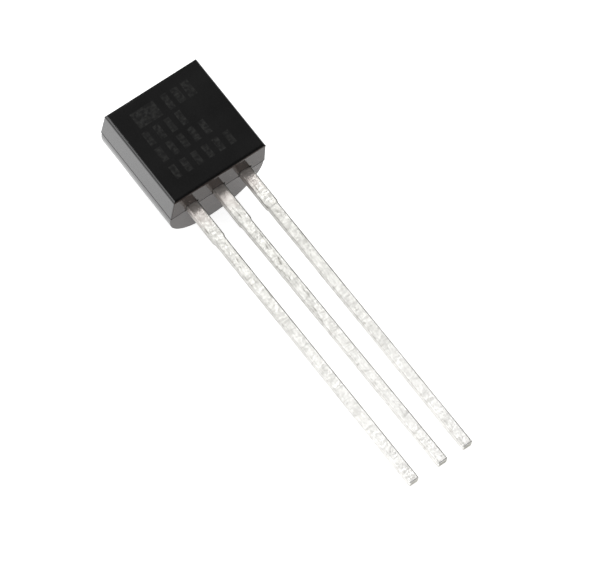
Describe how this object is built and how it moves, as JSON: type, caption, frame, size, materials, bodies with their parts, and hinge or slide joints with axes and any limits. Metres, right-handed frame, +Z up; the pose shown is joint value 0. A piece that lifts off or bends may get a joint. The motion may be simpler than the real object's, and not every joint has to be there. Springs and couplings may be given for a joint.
{
  "type": "temperature sensor",
  "caption": "Black moulded D-shaped sensor body with a flat face and a row of straight flat tinned leads, lying flat face up.",
  "frame": {"origin": "middle of the base of the bounding box, with the sensor lying as it comes to rest, flat face up", "axes": "+Z up, +X across the row of leads from supply to ground, leads pointing along -Y and body at +Y"},
  "size_m": [0.0046, 0.0186, 0.0045],
  "materials": {
    "epoxy": "black moulding compound, satin, fine grain",
    "lead": "tin plated, handled and lightly scratched",
    "silicon": "polished silicon",
    "adhesive": "silver-filled epoxy, matt",
    "bond_wire": "gold wire"
  },
  "bodies": {
    "root": {"package_body": "epoxy", "lead_supply": "lead", "lead_output": "lead", "lead_ground": "lead", "sensor_die": "silicon", "die_attach": "adhesive", "bond_wire_supply": "bond_wire", "bond_wire_output": "bond_wire", "bond_wire_ground": "bond_wire"}
  },
  "joints": []
}
